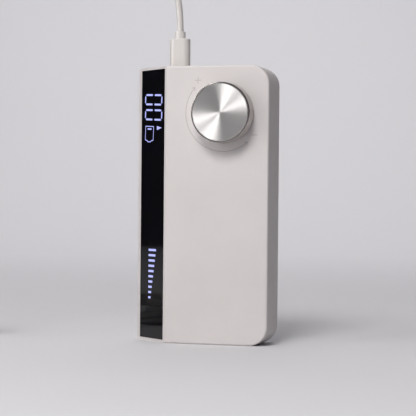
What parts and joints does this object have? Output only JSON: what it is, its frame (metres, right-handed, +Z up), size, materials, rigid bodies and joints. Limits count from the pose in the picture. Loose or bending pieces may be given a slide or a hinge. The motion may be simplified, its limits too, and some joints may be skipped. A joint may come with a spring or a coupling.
{
  "type": "electric nail drill",
  "caption": "Upright rechargeable nail drill control unit with a bevelled display strip, a push-and-turn speed knob and a plugged-in charging cable.",
  "frame": {"origin": "middle of the flat bottom face that the unit stands on", "axes": "+X to the right seen from the front, -Y towards the front face with the knob, +Z up along the unit's height"},
  "size_m": [0.2094, 0.043, 0.2304],
  "materials": {
    "shell_plastic": "fine satin texture",
    "lens_black": "high gloss, smoked",
    "display_light": "lit, bluish white",
    "scale_print": "printed ink",
    "white_plastic": "moulded",
    "black_plastic": "moulded",
    "circuit_board": "green solder mask",
    "chip_black": "moulded",
    "led_lamp": "clear",
    "ribbon_film": "polyimide film",
    "adhesive_tape": "foam tape",
    "foam": "soft foam",
    "rubber_dark": "matt",
    "brass": "knurled",
    "screw_steel": "plated",
    "sheet_steel": "stamped",
    "knob_aluminium": "satin blasted",
    "cap_aluminium": "turned, circular brushing",
    "nickel": "plated",
    "cell_can": null,
    "cell_sleeve": "shrink sleeve",
    "insulator_paper": "fish paper",
    "capacitor_can": "sleeved can",
    "ferrite": "ferrite",
    "wire_red": "insulation",
    "wire_black": "insulation",
    "cable_white": "soft satin jacket",
    "plug_white": "moulded satin",
    "plug_metal": "stamped"
  },
  "bodies": {
    "housing": {"front_shell": "shell_plastic", "rear_shell": "shell_plastic", "rubber_feet": "rubber_dark", "threaded_inserts": "brass", "shell_screws": "screw_steel", "board_screws": "screw_steel", "scale_marks": "scale_print", "display_lens": "lens_black", "display_legend": "display_light", "lens_adhesive": "adhesive_tape", "display_light_box": "white_plastic", "level_light_box": "white_plastic", "display_circuit": "circuit_board", "display_leds": "led_lamp", "display_ribbon": "ribbon_film", "encoder_body": "black_plastic", "encoder_frame": "sheet_steel", "encoder_pins": "nickel", "encoder_washer": "sheet_steel", "encoder_nut": "sheet_steel", "switch_dome": "nickel", "main_board": "circuit_board", "controller_chip": "chip_black", "driver_chips": "chip_black", "inductor": "ferrite", "capacitors": "capacitor_can", "battery_header": "white_plastic", "battery_plug": "white_plastic", "ribbon_connector": "white_plastic", "usb_socket": "sheet_steel", "usb_tongue": "black_plastic", "handpiece_socket": "black_plastic", "socket_contact": "nickel", "left_cell": "cell_can", "right_cell": "cell_can", "cell_sleeves": "cell_sleeve", "cell_insulators": "insulator_paper", "nickel_strips": "nickel", "battery_cradle": "black_plastic", "foam_pad": "foam", "positive_lead": "wire_red", "negative_lead": "wire_black", "plug_shell": "plug_metal", "plug_grip": "plug_white", "plug_collar": "plug_white", "charging_cable": "cable_white", "cable_coil": "cable_white", "cable_tail": "cable_white", "cable_tie": "rubber_dark", "far_plug_grip": "plug_white", "far_plug_collar": "plug_white", "far_plug_shell": "plug_metal", "far_plug_tongue": "white_plastic"},
    "plunger": {"switch_plunger": "white_plastic"},
    "knob": {"knob_body": "knob_aluminium", "knob_cap": "cap_aluminium", "encoder_shaft": "knob_aluminium"},
    "rotor": {"encoder_rotor": "black_plastic"}
  },
  "joints": [
    {"name": "knob_push", "type": "slide", "parent": "housing", "child": "plunger", "axis": [0, 1, 0], "range_m": [0, 0.0005], "stiffness_N_per_m": 4000, "springref_m": -0.0005, "deforming": ["switch_dome"]},
    {"name": "knob_turn", "type": "hinge", "parent": "plunger", "child": "knob", "pos_m": [0.0146, -0.0135, 0.1201], "axis": [0, 1, 0], "continuous": true},
    {"name": "rotor_turn", "type": "hinge", "parent": "housing", "child": "rotor", "pos_m": [0.0146, -0.0085, 0.1201], "axis": [0, 1, 0], "continuous": true}
  ],
  "couplings": [
    {"joint": "rotor_turn", "follows": "knob_turn", "ratio": 1}
  ]
}
